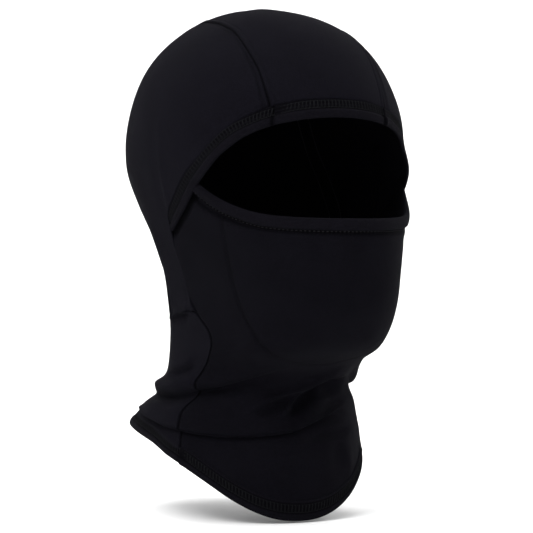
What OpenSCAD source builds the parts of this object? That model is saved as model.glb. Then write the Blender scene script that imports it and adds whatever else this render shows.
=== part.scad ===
// Hinged balaclava: a knitted hood with a crown panel between two seams, a
// front panel that is both face mask and neck front, and hemmed openings.
// Millimetres. Front of the head looks along -Y, the wearer's left is +X, up is +Z.
// The origin is the middle of the head, level with the ears.
// Every panel lies on one head-and-neck surface; height z and angle a
// (0 at the front, 90 at the wearer's left) name a place on it.

/* [Cloth] */
// Thickness of the knit
cloth = 1.4; // [1:0.1:1.8]
// Air between cloth layers that lie on each other
layer_gap = 0.3; // [0.3:0.1:0.6]
// Width of the crack between panels along a seam
seam_gap = 0.7; // [0.6:0.1:1.2]

/* [Crown] */
// Width of the crown panel at the brow
crown_width = 77; // [60:1:90]
// How far the crown panel is turned toward the wearer's left, in mm at the brow
crown_shift = -3; // [-5:1:5]

/* [Brow] */
// Height of the middle of the brow edge above the ears
brow_height = 52.5; // [46:0.5:56]
// Share of the brow hem covered by the stitch band
stitch_share = 0.5; // [0.35:0.05:0.6]

/* [Mask] */
// Height of the middle of the mask edge
mask_top = -7.7; // [-14:0.1:-2]
// Width of the turned hem along the top of the mask
mask_hem_width = 9; // [6:0.5:12]
// Lower edge of the part of the mask that swings down
mask_low = -46; // [-50:1:-40]

/* [Neck] */
// Lowest point of the front of the bottom hem
hem_low = -194; // [-200:1:-184]
// Height of the bottom hem at the back
hem_back = -138; // [-142:1:-134]
// Width of the bottom hem
hem_width = 12; // [9:0.5:15]

/* [Thread] */
// Thickness of the sewing thread
thread = 0.7; // [0.5:0.1:1]
// Length of one zigzag of the cover stitch
zigzag = 4.4; // [3.6:0.2:8]

/* [Hidden] */
$fn = 12;

// ---- head and neck surface -------------------------------------------------
// height, half width, front, back, middle, front roundness, back roundness
T = [
 [  40, 81,  -105,101,4,2.1,2.1],
 [  20, 80.5,-117, 95,4,2.2,2.1],
 [   0, 78,  -120, 76,4,2.2,2.0],
 [ -20, 73,  -121, 46,4,2.3,2.0],
 [ -40, 67,  -121, 43,2,2.5,2.0],
 [ -60, 64.5,-118, 41,0,2.5,2.0],
 [ -76, 62,  -110, 47,0,2.5,2.0],
 [ -88, 60,   -97, 55,2,2.4,2.0],
 [ -97, 59,   -72, 60,3,2.2,2.0],
 [-104, 58.5, -56, 68,4,2.2,2.0],
 [-112, 58.5, -48, 80,4,2.1,2.1],
 [-120, 60,   -47, 88,5,2.0,2.4],
 [-130, 63.5, -49, 96,6,2.0,2.7],
 [-142, 66,   -52,103,6,2.0,2.8],
 [-160, 66,   -55,105,6,2.0,2.8],
 [-180, 63,   -54,105,6,2.0,2.8],
 [-205, 58,   -50,105,6,2.0,2.8]];
z0 = 40;           // widest level, foot of the dome
dome = 86;         // height of the dome above it
round = 2.1;       // roundness of the dome
nt = len(T);
slope = [for (i = [0:nt-1]) i == 0 || i == nt-1 ? 0*T[i] : (T[i+1]-T[i-1])/(T[i+1][0]-T[i-1][0])];
function level(z) = min(max(len([for (r = T) if (r[0] > z) 1]) - 1, 0), nt-2);
function herm(p, q, s, r, h, t) =
    (2*t*t*t-3*t*t+1)*p + (t*t*t-2*t*t+t)*h*s + (3*t*t-2*t*t*t)*q + (t*t*t-t*t)*h*r;
function section(z) =
    let (c = min(max(z, T[nt-1][0]), z0), i = level(c), h = T[i+1][0]-T[i][0],
         t = (c-T[i][0])/h)
    herm(T[i], T[i+1], slope[i], slope[i+1], h, t);
function shrink(z) = z <= z0 ? 1 : pow(max(1-pow((z-z0)/dome, round), 0.0001), 1/round);
// a point of the surface
function P(a, z) =
    let (s = section(z), k = shrink(z), dx = sin(a), dy = -cos(a),
         b = dy < 0 ? s[4]-s[2] : s[3]-s[4], n = dy < 0 ? s[5] : s[6],
         r = k/pow(pow(abs(dx)/s[1], n)+pow(abs(dy)/b, n), 1/n))
    [r*dx, s[4]+r*dy, z];
function unit(v) = v/norm(v);
// its outward normal
function N(a, z) = unit(cross(P(a+0.5, z)-P(a-0.5, z), P(a, z+0.4)-P(a, z-0.4)));
function Q(g, off) = P(g[0], g[1]) + off*N(g[0], g[1]);

// smooth curve through a short list of places; u runs 0..1
function cr(p, u) =
    let (m = len(p)-1, w = min(max(u*m, 0), m-0.00001), i = floor(w), t = w-i,
         a = p[max(i-1, 0)], b = p[i], c = p[i+1], d = p[min(i+2, m)])
    0.5*((2*b)+(c-a)*t+(2*a-5*b+4*c-d)*t*t+(3*b-a-3*c+d)*t*t*t);
function flip(g) = [-g[0], g[1]];

// ---- seam and edge lines (wearer's left side) -------------------------------
// brow edge from the middle of the forehead to the hinge corner, and the top
// of its hem band
brow_e = [[0,brow_height],[12,51],[22,47.5],[29,43.3],[35,38],[41,30],
          [46.5,19.5],[50.5,12.5],[58.5,-1],[65,-9],[70.5,-15]];
brow_u = [[0,brow_height+11.8],[11.5,63.2],[20.5,59.8],[29.5,54.6],[39,47.5],[46,38.5],
          [52.5,27],[57,20],[64.5,7.5],[69.5,0.5],[72.5,-5]];
// mask edge, up to where it is sewn in under the hood
mask_e = [[0,mask_top],[10,-7.5],[20,-6.6],[28,-4.6],[35,-0.8],[41,3.5],[46,8],[51,13.5],[55,18]];
// side seam from the dart down to the bottom hem
side_s = [[77.5,42],[76,26],[74,10],[73,-4],[72.5,-15],[71,-36],[68.5,-54],[63,-65],
          [55,-75],[52.5,-84],[56,-93],[63,-102],[69,-110],[71,-118],[75,-127],[75,-138],
          [74,-147]];
// bottom hem, front to back
hem_e = [[0,hem_low],[14,hem_low+1],[28,-188.5],[43,-180],[58,-169],[75,-158.5],
         [102,-148.5],[138,-141],[180,hem_back]];
function hem_z(a) = let (b = abs(a))
    lookup(b, hem_e);
function hem_s(a) = let (w = 4) (hem_z(a-w)+2*hem_z(a)+hem_z(a+w))/4;

// crown seam: from the brow over the top, out behind the ear and forward to
// the point where it meets the side seam; w = half the crown width at the brow
w0 = crown_width/2;
crown_s = [[atan2(w0, 96),60.6],[atan2(w0+0.5, 76),85],[atan2(w0+0.5, 51),104],[atan2(w0, 31),112],
           [atan2(w0-1, 13),116],[atan2(w0-2, -14),118],[127,112],[133,100],[134.5,82],
           [133,61],[129,39.5],[125,27],[119,12.5],[110.5,-4.5],[104.5,-22],[100,-40],[96.5,-55],[92,-65.5],
           [84,-65],[76,-63.5],[70.5,-62.5]];
// middle line of the crown and back: degrees up from the front on the dome,
// then 180 plus the drop below the widest level
spine_s = [14,31,51,66,80,100,113,127,141,155,170,184,200,217,234,250,264,276,289,303,313,321];
back_s  = [323,326,329,332,335,338,340,342,344,345.4];
function crown_g(side, s, out = 0) =       // s runs 0..1; out = mm away from the panel's middle
    let (q = cr(crown_s, s), f = cr(crown_s, min(s+0.004, 1)), b = cr(crown_s, max(s-0.004, 0)),
         p = P(q[0], q[1]), d = unit(P(f[0], f[1])-P(b[0], b[1])), n = N(q[0], q[1]),
         o = out*cross(n, d), e = p+o, c = section(e[2])[4],
         a = atan2(e[0], -(e[1]-c)))
    turn_side(side, [a, e[2]]);
// the hood sits a little turned: places near the brow shift, those behind do not
function turn_side(side, g) = let (w = crown_shift*0.6*max(0, cos(g[0]))) [side*g[0]+w, g[1]];
function spine(f) = f <= 180 ?
    let (b = cos(f) > 0 ? 109 : 97, r = 1/pow(pow(abs(cos(f))/b, round)+pow(abs(sin(f))/dome, round), 1/round))
    [0, 4-r*cos(f), z0+r*sin(f)] : P(180, z0-(f-180));
// nearest surface point along the spoke from the middle
function onto(q) = q[2] > z0 ?
    let (v = q-[0, 4, z0], b = v[1] < 0 ? 109 : 97,
         r = pow(pow(abs(v[0])/81, round)+pow(abs(v[1])/b, round)+pow(v[2]/dome, round), 1/round))
    [0, 4, z0]+v/r : P(atan2(q[0], -(q[1]-section(q[2])[4])), q[2]);

// ---- builders ----------------------------------------------------------------
// closed skin from a grid of outer points and a grid of inner points
module shell(o, i) {
    n = len(o); m = len(o[0]); k = n*m;
    pts = concat([for (r = o) for (p = r) p], [for (r = i) for (p = r) p]);
    f = concat(
        [for (a = [0:n-2]) for (b = [0:m-2]) each
            [[a*m+b, (a+1)*m+b, (a+1)*m+b+1], [a*m+b, (a+1)*m+b+1, a*m+b+1]]],
        [for (a = [0:n-2]) for (b = [0:m-2]) each
            [[k+a*m+b, k+(a+1)*m+b+1, k+(a+1)*m+b], [k+a*m+b, k+a*m+b+1, k+(a+1)*m+b+1]]],
        [for (a = [0:n-2]) each
            [[a*m, k+a*m, k+(a+1)*m], [a*m, k+(a+1)*m, (a+1)*m],
             [a*m+m-1, k+(a+1)*m+m-1, k+a*m+m-1], [a*m+m-1, (a+1)*m+m-1, k+(a+1)*m+m-1]]],
        [for (b = [0:m-2]) each
            [[b, b+1, k+b+1], [b, k+b+1, k+b],
             [(n-1)*m+b, k+(n-1)*m+b+1, (n-1)*m+b+1], [(n-1)*m+b, k+(n-1)*m+b, k+(n-1)*m+b+1]]]);
    polyhedron(pts, f, convexity = 10);
}
// skin over a grid of places, between two offsets from the head surface
module skin(g, lo, hi) {
    shell([for (r = g) [for (q = r) Q(q, hi)]], [for (r = g) [for (q = r) Q(q, lo)]]);
}
// patch between four border lines
function coons(c0, c1, d0, d1, n, m) =
    [for (i = [0:n]) [for (j = [0:m])
        let (v = i/n, u = j/m)
        (1-v)*c0[j]+v*c1[j]+(1-u)*d0[i]+u*d1[i]
        -((1-u)*(1-v)*c0[0]+u*(1-v)*c0[m]+(1-u)*v*c1[0]+u*v*c1[m])]];
// strip between two lines of places
function strip(p, q, n, m) = [for (i = [0:n]) [for (j = [0:m]) cr(p, i/n)*(1-j/m)+cr(q, i/n)*j/m]];
function both(p) = concat([for (i = [len(p)-1:-1:1]) flip(p[i])], p);
function shift(p, da, dz) = [for (g = p) [g[0]+da, g[1]+dz]];
// square-section thread along places at a height above the surface
module cord(g, off, t) {
    n = len(g);
    c = [for (q = g) Q(q, off)];
    nn = [for (q = g) N(q[0], q[1])];
    d = [for (i = [0:n-1]) unit(c[min(i+1, n-1)]-c[max(i-1, 0)])];
    s = [for (i = [0:n-1]) unit(cross(nn[i], d[i]))];
    pts = [for (i = [0:n-1]) each
        [c[i]+t/2*(s[i]+nn[i]), c[i]+t/2*(-s[i]+nn[i]), c[i]+t/2*(-s[i]-nn[i]), c[i]+t/2*(s[i]-nn[i])]];
    f = concat([[0, 1, 2], [0, 2, 3]],
        [[4*n-4, 4*n-2, 4*n-3], [4*n-4, 4*n-1, 4*n-2]],
        [for (i = [0:n-2]) for (j = [0:3]) each
            [[4*i+j, 4*i+4+j, 4*i+4+(j+1)%4], [4*i+j, 4*i+4+(j+1)%4, 4*i+(j+1)%4]]]);
    polyhedron(pts, f, convexity = 10);
}
// zigzag places between two lines
function zig(p, q, n) = [for (i = [0:n]) i % 2 == 0 ? cr(p, i/n) : cr(q, i/n)];

outer = layer_gap + cloth;     // hood cloth lies this far outside the mask cloth

// ---- cloth panels --------------------------------------------------------------
module crown_back_panel() color([0.05, 0.05, 0.06]) {
    n = 57; h = 7;
    e = seam_gap/2; k = 38;
    pts = [for (i = [0:n])
        let (top = i <= k, t = top ? i/k : (i-k)/(n-k),
             l = top ? crown_g(1, t, -e) : back_g(t),
             r = top ? crown_g(-1, t, -e) : flip(back_g(t)),
             pl = P(l[0], l[1]), pr = P(r[0], r[1]),
             m = spine(top ? cr(spine_s, t) : cr(concat([321], back_s), t)))
        [for (j = [-h:h]) low(j < 0 ? onto(pl+(m-pl)*(j+h)/h) : onto(m+(pr-m)*j/h), top ? 0 : t*t)]];
    w = 2*h;
    nr = [for (i = [0:n]) [for (j = [0:w])
        unit(cross(pts[min(i+1, n)][j]-pts[max(i-1, 0)][j], pts[i][min(j+1, w)]-pts[i][max(j-1, 0)]))]];
    shell([for (i = [0:n]) [for (j = [0:w]) pts[i][j]+outer*nr[i][j]]],
          [for (i = [0:n]) [for (j = [0:w]) pts[i][j]+layer_gap*nr[i][j]]]);
}
// pulls a point down to the upper edge of the bottom hem as w goes to 1
function low(p, w) = w == 0 ? p : let (a = atan2(p[0], -(p[1]-section(p[2])[4])))
    P(a, p[2]*(1-w)+(hem_s(a)+hem_width+1)*w);
// edge of the back panel along the side seam, from the crown seam's end to the hem
function back_g(t) = let (q = cr([for (i = [7:16]) side_s[i]], t), s = crown_g(1, 1, -seam_gap/2),
                          w = pow(1-t, 4), z = q[1]*(1-w)+s[1]*w)
    [(q[0]+0.4)*(1-w)+s[0]*w, t > 0.999 ? hem_s(q[0])+hem_width+1 : z];

module side_panel(side) {
    n = 42; m = 12;
    e = seam_gap/2;
    hb = [for (q = brow_u) [q[0]+0.6, q[1]+1.4]];
    j0 = let (q = crown_g(side, 0, e)) [side*q[0], q[1]];
    u0 = let (a = [for (i = [0:100]) if (cr(hb, i/100)[0] < j0[0]) 1]) len(a)/100;
    c0 = [for (j = [0:m]) let (q = cr(hb, u0+(1-u0)*j/m), w = pow(1-j/m, 4)) q*(1-w)+j0*w];
    d0 = [for (i = [0:n]) let (q = crown_g(side, 0.985*i/n, e)) [side*q[0], q[1]]];
    sl = [for (i = [3:7]) side_s[i]];
    d1 = [for (i = [0:n]) let (t = i/n, q = cr(sl, 0.04+0.93*t), w = pow(1-t, 3)) [(q[0]+0.5)*(1-w)+c0[m][0]*w, q[1]*(1-w)+c0[m][1]*w]];
    c1 = [for (j = [0:m]) d0[n]*(1-j/m)+d1[n]*j/m];
    g = coons(c0, c1, d0, d1, n, m);
    if (side > 0) skin(g, layer_gap, outer);
    else skin([for (r = g) [for (j = [m:-1:0]) flip(r[j])]], layer_gap, outer);
}
function side_low() = [for (i = [3:16]) side_s[i]];
module side_panel_left() color([0.06, 0.06, 0.07]) side_panel(1);
module side_panel_right() color([0.06, 0.06, 0.07]) side_panel(-1);

// folded double edge of the hood around the face
module brow_hem() color([0.07, 0.07, 0.08])
    skin(strip(both(brow_e), both(brow_u), 48, 3), layer_gap, outer+0.9);

// part of the front panel that swings down off the nose
low_e = [[0,mask_low],[18,mask_low+1],[34,mask_low+6],[44,-28],[49,-14],[52.5,-3.5],[55,4]];
module mask_panel() color([0.04, 0.04, 0.05])
    skin(strip(both(shift(low_e, 0, 0)), both(shift(mask_e, 0, -mask_hem_width-0.6)), 36, 5), -cloth, 0);
function tuck(q) = -1.3*min(max((abs(q[0])-41)/9, 0), 1);    // the ends lie deeper, under the brow hem
module mask_hem() color([0.05, 0.05, 0.06]) {
    g = strip(both(shift(mask_e, 0, -mask_hem_width)), both(mask_e), 44, 3);
    shell([for (r = g) [for (q = r) Q(q, tuck(q))]], [for (r = g) [for (q = r) Q(q, tuck(q)-cloth-0.8)]]);
}

// cheeks and chin: the cloth that gives when the mask swings
chin_o = [[76.2,32],[75.2,24],[73.5,10],[72.5,-4],[72,-15],[70.5,-36],[68,-54],[62.5,-65],
          [54.5,-75],[50,-85],[40,-95],[26,-102],[12,-104],[0,-104.5]];
chin_i = [[56.2,18.4],[56.2,14],[56.2,9],[56,3.6],[53.5,-3.9],[51.6,-9],[49.9,-14.4],[47.5,-21.5],[44.8,-28.6],
          [35,-40.8],[27,-43.8],[18,-45.9],[9,-46.7],[0,-46.9]];
module cheek_and_chin_panel() color([0.05, 0.05, 0.06])
    skin([for (r = strip([for (i = [0:26]) i < 13 ? chin_i[i] : flip(chin_i[26-i])],
                         [for (i = [0:26]) i < 13 ? chin_o[i] : flip(chin_o[26-i])], 60, 7))
          [for (j = [0:7]) r[j]]], -cloth, 0);

// front of the neck, from under the chin to the bottom hem
module neck_front_panel() color([0.05, 0.05, 0.06]) {
    n = 16; m = 24;
    top = [for (i = [0:m]) let (a = 48.2*(1-2*i/m), q = cr([[0,-106],[12,-105.6],[26,-103.8],[40,-97.2],[48.2,-88]],
            lookup(abs(a), [[0,0],[12,0.25],[26,0.5],[40,0.75],[48.2,1]]))) [a, q[1]]];
    l = [for (i = [0:n]) let (t = i/n, q = cr([for (k = [9:16]) side_s[k]], t), w = pow(1-t, 4))
            [q[0]-0.4-3.9*w, q[1]-3.6*w]];
    bot = [for (i = [0:m]) let (a = 73.6*(1-2*i/m)) [a, hem_s(a)+hem_width+0.6]];
    ll = [for (i = [0:n]) let (w = i/n) l[i]+(bot[0]-l[n])*w*w+(top[0]-l[0])*(1-w)*(1-w)];
    skin(coons(top, bot, ll, [for (q = ll) flip(q)], n, m), -cloth, 0);
}

module ring(g, lo, hi) {      // closed band: g is a loop of rows
    n = len(g); m = len(g[0]); k = n*m;
    pts = concat([for (r = g) for (q = r) Q(q, hi)], [for (r = g) for (q = r) Q(q, lo)]);
    f = concat(
        [for (a = [0:n-1]) let (c = (a+1)%n) for (b = [0:m-2]) each
            [[a*m+b, c*m+b, c*m+b+1], [a*m+b, c*m+b+1, a*m+b+1]]],
        [for (a = [0:n-1]) let (c = (a+1)%n) for (b = [0:m-2]) each
            [[k+a*m+b, k+c*m+b+1, k+c*m+b], [k+a*m+b, k+a*m+b+1, k+c*m+b+1]]],
        [for (a = [0:n-1]) let (c = (a+1)%n) each
            [[a*m, k+a*m, k+c*m], [a*m, k+c*m, c*m],
             [a*m+m-1, k+c*m+m-1, k+a*m+m-1], [a*m+m-1, c*m+m-1, k+c*m+m-1]]]);
    polyhedron(pts, f, convexity = 10);
}
// folded double edge around the shoulders
module bottom_hem() color([0.07, 0.07, 0.08])
    ring([for (i = [71:-1:0]) let (a = i*5-180) [for (j = [0:3]) [a, hem_s(a)+hem_width*(1-j/3)]]], -cloth, outer+0.4);

// second layer inside the mask
lining_e = [[0,-18],[12,-18],[22,-17],[31,-14],[37.5,-10.5]];
lining_l = [[0,-93],[8,-92],[17,-88],[27,-79],[32,-70],[35,-60],[37,-48],[38,-36],[38.5,-24],[38.2,-16]];
module mask_lining() color([0.03, 0.03, 0.035])
    skin(coons_lining(28, 14), -2*cloth-layer_gap-0.9, -cloth-layer_gap-0.9);
function coons_lining(n, m) =
    [for (i = [0:n]) let (w = i/n*2-1, t = cr(lining_e, abs(w)), b = cr(lining_l, abs(w)))
        [for (j = [0:m]) let (q = t*(1-j/m)+b*(j/m)) [w < 0 ? -q[0] : q[0], q[1]]]];

// inner flaps of cloth along the seams
module seam_strip(p, n, wa, wb, lo, hi) {
    skin([for (i = [0:n]) let (q = cr(p, i/n)) [for (j = [0:1]) [q[0]+(j == 0 ? wb : wa), q[1]]]], lo, hi);
}
allow_s = [[80.5,40],[79.5,26],[78.5,10],[77.5,-4],[77,-15],[76,-36],[74,-54],[69,-65]];
module side_seam_allowance(side) {
    p = side > 0 ? allow_s : [for (q = allow_s) flip(q)];
    seam_strip(p, 30, side > 0 ? 0 : -5, side > 0 ? 5 : 0, -1.2, -0.3);
}
module side_seam_allowance_left() color([0.05, 0.05, 0.055]) side_seam_allowance(1);
module side_seam_allowance_right() color([0.05, 0.05, 0.055]) side_seam_allowance(-1);
module crown_seam_allowance(side) {
    n = 40;
    g = [for (i = [0:n]) let (s = 0.03+0.88*i/n) [crown_g(side, s, -3.5), crown_g(side, s, 3.5)]];
    skin(side > 0 ? g : [for (r = g) [r[1], r[0]]], -1.2, -0.3);
}
module crown_seam_allowance_left() color([0.05, 0.05, 0.055]) crown_seam_allowance(1);
module crown_seam_allowance_right() color([0.05, 0.05, 0.055]) crown_seam_allowance(-1);

// ---- threads ---------------------------------------------------------------------
lift = outer + thread/2 + 0.35;
module crown_seam_stitching(side)
    for (o = [-3.5, 3.5])
        cord([for (i = [0:50]) crown_g(side, 0.01+0.95*i/50, o)], lift, thread);
module crown_seam_stitching_left() color([0.12, 0.12, 0.14]) crown_seam_stitching(1);
module crown_seam_stitching_right() color([0.12, 0.12, 0.14]) crown_seam_stitching(-1);

module brow_coverstitch() color([0.13, 0.13, 0.15]) {
    a = both(brow_e); b = both(brow_u); n = 2*round_up(196/zigzag);
    p = [for (i = [0:len(a)-1]) a[i]*(1-stitch_share*1.0)+b[i]*stitch_share];
    q = [for (i = [0:len(a)-1]) a[i]*0.08+b[i]*0.92];
    cord(zig(p, q, n), outer+0.9+thread/2+0.35, thread);
}
function round_up(x) = ceil(x);
module bottom_coverstitch() color([0.13, 0.13, 0.15]) {
    n = 2*round_up(250/zigzag);
    cord([for (i = [0:n-1]) let (a = -179+358*i/(n-1)) [a, hem_s(a)+hem_width*(i % 2 == 0 ? 0.45 : 0.92)]],
         outer+0.4+thread/2+0.4, thread);
}
module mask_hem_stitching() color([0.13, 0.13, 0.15])
    cord([for (i = [0:60]) cr(both(shift(mask_e, 0, -mask_hem_width+1.2)), 0.06+0.88*i/60)], thread/2+0.35, thread);
module lining_stitching() color([0.10, 0.10, 0.12]) {
    p = [[0,-96.5],[8,-95.5],[17.5,-92.5],[24,-86.5],[29.5,-79],[34,-69],[36.5,-59],[38.3,-46],[39.4,-35],[40,-25],[40.6,-19.5]];
    cord([for (i = [0:56]) cr(both(p), i/56)], thread/2+0.3, thread*0.7);
}
module side_seam_stitching(side) {
    p = [for (i = [7:16]) side > 0 ? [side_s[i][0]+3, side_s[i][1]] : [-side_s[i][0]-3, side_s[i][1]]];
    cord([for (i = [0:32]) cr(p, 0.02+0.9*i/32)], lift, thread);
}
module side_seam_stitching_left() color([0.12, 0.12, 0.14]) side_seam_stitching(1);
module side_seam_stitching_right() color([0.12, 0.12, 0.14]) side_seam_stitching(-1);

crown_back_panel();
side_panel_left();
side_panel_right();
brow_hem();
mask_panel();
mask_hem();
cheek_and_chin_panel();
neck_front_panel();
bottom_hem();
mask_lining();
side_seam_allowance_left();
side_seam_allowance_right();
crown_seam_allowance_left();
crown_seam_allowance_right();
crown_seam_stitching_left();
crown_seam_stitching_right();
brow_coverstitch();
bottom_coverstitch();
mask_hem_stitching();
lining_stitching();
side_seam_stitching_left();
side_seam_stitching_right();
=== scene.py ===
import math

import bpy
import numpy as np
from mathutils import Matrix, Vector


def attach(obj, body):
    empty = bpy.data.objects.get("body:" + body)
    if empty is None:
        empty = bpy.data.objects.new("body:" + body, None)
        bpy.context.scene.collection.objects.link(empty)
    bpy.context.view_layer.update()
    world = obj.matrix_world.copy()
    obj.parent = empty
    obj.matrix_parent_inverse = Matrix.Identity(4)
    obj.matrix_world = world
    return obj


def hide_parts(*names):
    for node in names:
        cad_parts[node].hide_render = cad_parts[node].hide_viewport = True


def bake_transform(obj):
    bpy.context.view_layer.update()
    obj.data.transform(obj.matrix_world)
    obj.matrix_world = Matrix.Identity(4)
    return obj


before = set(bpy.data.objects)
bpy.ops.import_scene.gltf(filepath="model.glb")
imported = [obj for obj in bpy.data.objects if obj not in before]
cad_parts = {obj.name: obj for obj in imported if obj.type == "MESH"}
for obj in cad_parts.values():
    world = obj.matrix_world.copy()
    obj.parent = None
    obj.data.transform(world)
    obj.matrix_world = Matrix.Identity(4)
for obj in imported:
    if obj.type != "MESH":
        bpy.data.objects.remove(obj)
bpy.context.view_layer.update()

# ---------------------------------------------------------------- head surface
T = np.array([
    [40, 81, -105, 101, 4, 2.1, 2.1], [20, 80.5, -117, 95, 4, 2.2, 2.1],
    [0, 77.5, -120, 75, 4, 2.2, 2.0], [-20, 72, -121, 43.5, 4, 2.3, 2.0],
    [-40, 65.7, -120.5, 39.5, 2, 2.5, 2.0], [-60, 63.2, -117.5, 38, 0, 2.5, 2.0],
    [-76, 61, -109.5, 44.5, 0, 2.5, 2.0], [-88, 59.5, -96.5, 53.5, 2, 2.4, 2.0],
    [-97, 59, -72, 60, 3, 2.2, 2.0], [-104, 58.5, -56, 68, 4, 2.2, 2.0],
    [-112, 58.5, -48, 80, 4, 2.1, 2.1], [-120, 60, -47, 88, 5, 2.0, 2.4],
    [-130, 63.5, -49, 100, 6, 2.0, 2.7], [-142, 66.5, -52, 115, 6, 2.0, 2.8],
    [-160, 66.5, -55, 114, 6, 2.0, 2.8], [-180, 63.5, -54, 114, 6, 2.0, 2.8],
    [-205, 58.5, -50, 114, 6, 2.0, 2.8]], float)[::-1]
Z0, DOME, ROUND = 40.0, 86.0, 2.1
SL = np.zeros_like(T)
SL[1:-1] = (T[2:] - T[:-2]) / (T[2:, :1] - T[:-2, :1])


def section(z):
    c = np.clip(z, T[0, 0], Z0)
    i = np.clip(np.searchsorted(T[:, 0], c, side="right") - 1, 0, len(T) - 2)
    h = (T[i + 1, 0] - T[i, 0])[..., None]
    t = (c - T[i, 0])[..., None] / h
    return ((2 * t**3 - 3 * t**2 + 1) * T[i] + (t**3 - 2 * t**2 + t) * h * SL[i]
            + (3 * t**2 - 2 * t**3) * T[i + 1] + (t**3 - t**2) * h * SL[i + 1])


def P(a, z):
    a, z = np.broadcast_arrays(np.asarray(a, float), np.asarray(z, float))
    s = section(z)
    k = np.where(z <= Z0, 1.0, np.maximum(1 - (np.clip(z - Z0, 0, None) / DOME) ** ROUND, 1e-4) ** (1 / ROUND))
    dx, dy = np.sin(np.radians(a)), -np.cos(np.radians(a))
    b = np.where(dy < 0, s[..., 4] - s[..., 2], s[..., 3] - s[..., 4])
    n = np.where(dy < 0, s[..., 5], s[..., 6])
    r = k / ((np.abs(dx) / s[..., 1]) ** n + (np.abs(dy) / b) ** n) ** (1 / n)
    return np.stack([r * dx, s[..., 4] + r * dy, z], -1)


def unit(v):
    return v / np.maximum(np.linalg.norm(v, axis=-1, keepdims=True), 1e-9)


def N(a, z):
    return unit(np.cross(P(a + 0.5, z) - P(a - 0.5, z), P(a, z + 0.4) - P(a, z - 0.4)))


def place(p):
    """Angle and height of points on or near the surface."""
    yc = section(p[..., 2])[..., 4]
    return np.degrees(np.arctan2(p[..., 0], -(p[..., 1] - yc))), p[..., 2]


def cr(p, u):
    p = np.asarray(p, float)
    m = len(p) - 1
    w = np.clip(np.asarray(u, float) * m, 0, m - 1e-5)
    i = np.floor(w).astype(int)
    t = (w - i)[..., None]
    a, b, c, d = p[np.maximum(i - 1, 0)], p[i], p[i + 1], p[np.minimum(i + 2, m)]
    return 0.5 * (2 * b + (c - a) * t + (2 * a - 5 * b + 4 * c - d) * t * t + (3 * b - a - 3 * c + d) * t**3)


def flip(g):
    g = np.array(g, float)
    g[..., 0] *= -1
    return g


def both(p):
    p = np.asarray(p, float)
    return np.concatenate([flip(p[:0:-1]), p])


# ---------------------------------------------------------------- lines
brow_e = np.array([[0, 52.5], [12, 51], [22, 47.5], [29, 43.3], [35, 38], [41, 30], [46.5, 19.5],
                   [50.5, 12.5], [58.5, -1], [65, -9], [70.5, -15]], float)
brow_u = np.array([[0, 64.3], [11.5, 63.2], [20.5, 59.8], [29.5, 54.6], [39, 47.5], [46, 38.5],
                   [52.5, 27], [57, 20], [64.5, 7.5], [69.5, 0.5], [72.5, -5]], float)
mask_e = np.array([[0, -7.7], [10, -7.5], [20, -6.6], [28, -4.6], [35, -0.8], [41, 3.5], [46, 8],
                   [51, 13.5], [55, 18]], float)
side_s = np.array([[77.5, 42], [76, 26], [74, 10], [73, -4], [72.5, -15], [71, -36], [68.5, -54],
                   [63, -65], [55, -75], [52.5, -84], [56, -93], [63, -102], [69, -110], [71, -118],
                   [75, -127], [75, -138], [74, -147]], float)
hem_e = np.array([[0, -194], [14, -193], [28, -188.5], [43, -180], [58, -169], [75, -158.5],
                  [102, -148.5], [138, -141], [180, -138]], float)
HEM = 12.0


def hem_s(a):
    def f(x):
        x = np.abs((x + 180) % 360 - 180)
        return np.interp(x, hem_e[:, 0], hem_e[:, 1])
    return (f(a - 8) + f(a + 8) + 2 * f(a - 4) + 2 * f(a + 4) + 3 * f(a)) / 9


W0 = 38.5
D = lambda a, b: math.degrees(math.atan2(a, b))
crown_s = np.array([[D(W0, 96), 60.6], [D(W0 + 0.5, 76), 85], [D(W0 + 0.5, 51), 104], [D(W0, 31), 112],
                    [D(W0 - 1, 13), 116], [D(W0 - 2, -14), 118], [127, 112], [133, 100], [134.5, 82],
                    [133, 61], [129, 39.5], [125, 27], [119, 12.5], [110.5, -4.5], [104.5, -22], [100, -40],
                    [96.5, -55], [92, -65.5], [84, -65], [76, -63.5], [70.5, -62.5]], float)
spine_s = np.array([14, 31, 51, 66, 80, 100, 113, 127, 141, 155, 170, 184, 200, 217, 234, 250, 264, 276,
                    289, 303, 313, 321], float)
back_s = np.array([321, 323, 326, 329, 332, 335, 338, 340, 342, 344, 345.4], float)


def turn(side, g):
    g = np.array(g, float)
    w = -3 * 0.6 * np.maximum(0, np.cos(np.radians(g[..., 0])))
    g[..., 0] = side * g[..., 0] + w
    return g


def crown_g(side, s, out=0.0):
    s = np.asarray(s, float)
    q, f, b = cr(crown_s, s), cr(crown_s, np.minimum(s + 0.004, 1)), cr(crown_s, np.maximum(s - 0.004, 0))
    p = P(q[..., 0], q[..., 1])
    d = unit(P(f[..., 0], f[..., 1]) - P(b[..., 0], b[..., 1]))
    e = p + np.asarray(out)[..., None] * np.cross(N(q[..., 0], q[..., 1]), d)
    return turn(side, np.stack(place(e), -1))


def spine(f):
    f = np.asarray(f, float)
    c, s = np.cos(np.radians(f)), np.sin(np.radians(f))
    b = np.where(c > 0, 109, 97)
    r = 1 / ((np.abs(c) / b) ** ROUND + (np.abs(s) / DOME) ** ROUND) ** (1 / ROUND)
    up = np.stack([0 * f, 4 - r * c, Z0 + r * s], -1)
    dn = P(np.full(f.shape, 180.0), Z0 - (f - 180))
    return np.where((f <= 180)[..., None], up, dn)


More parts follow.
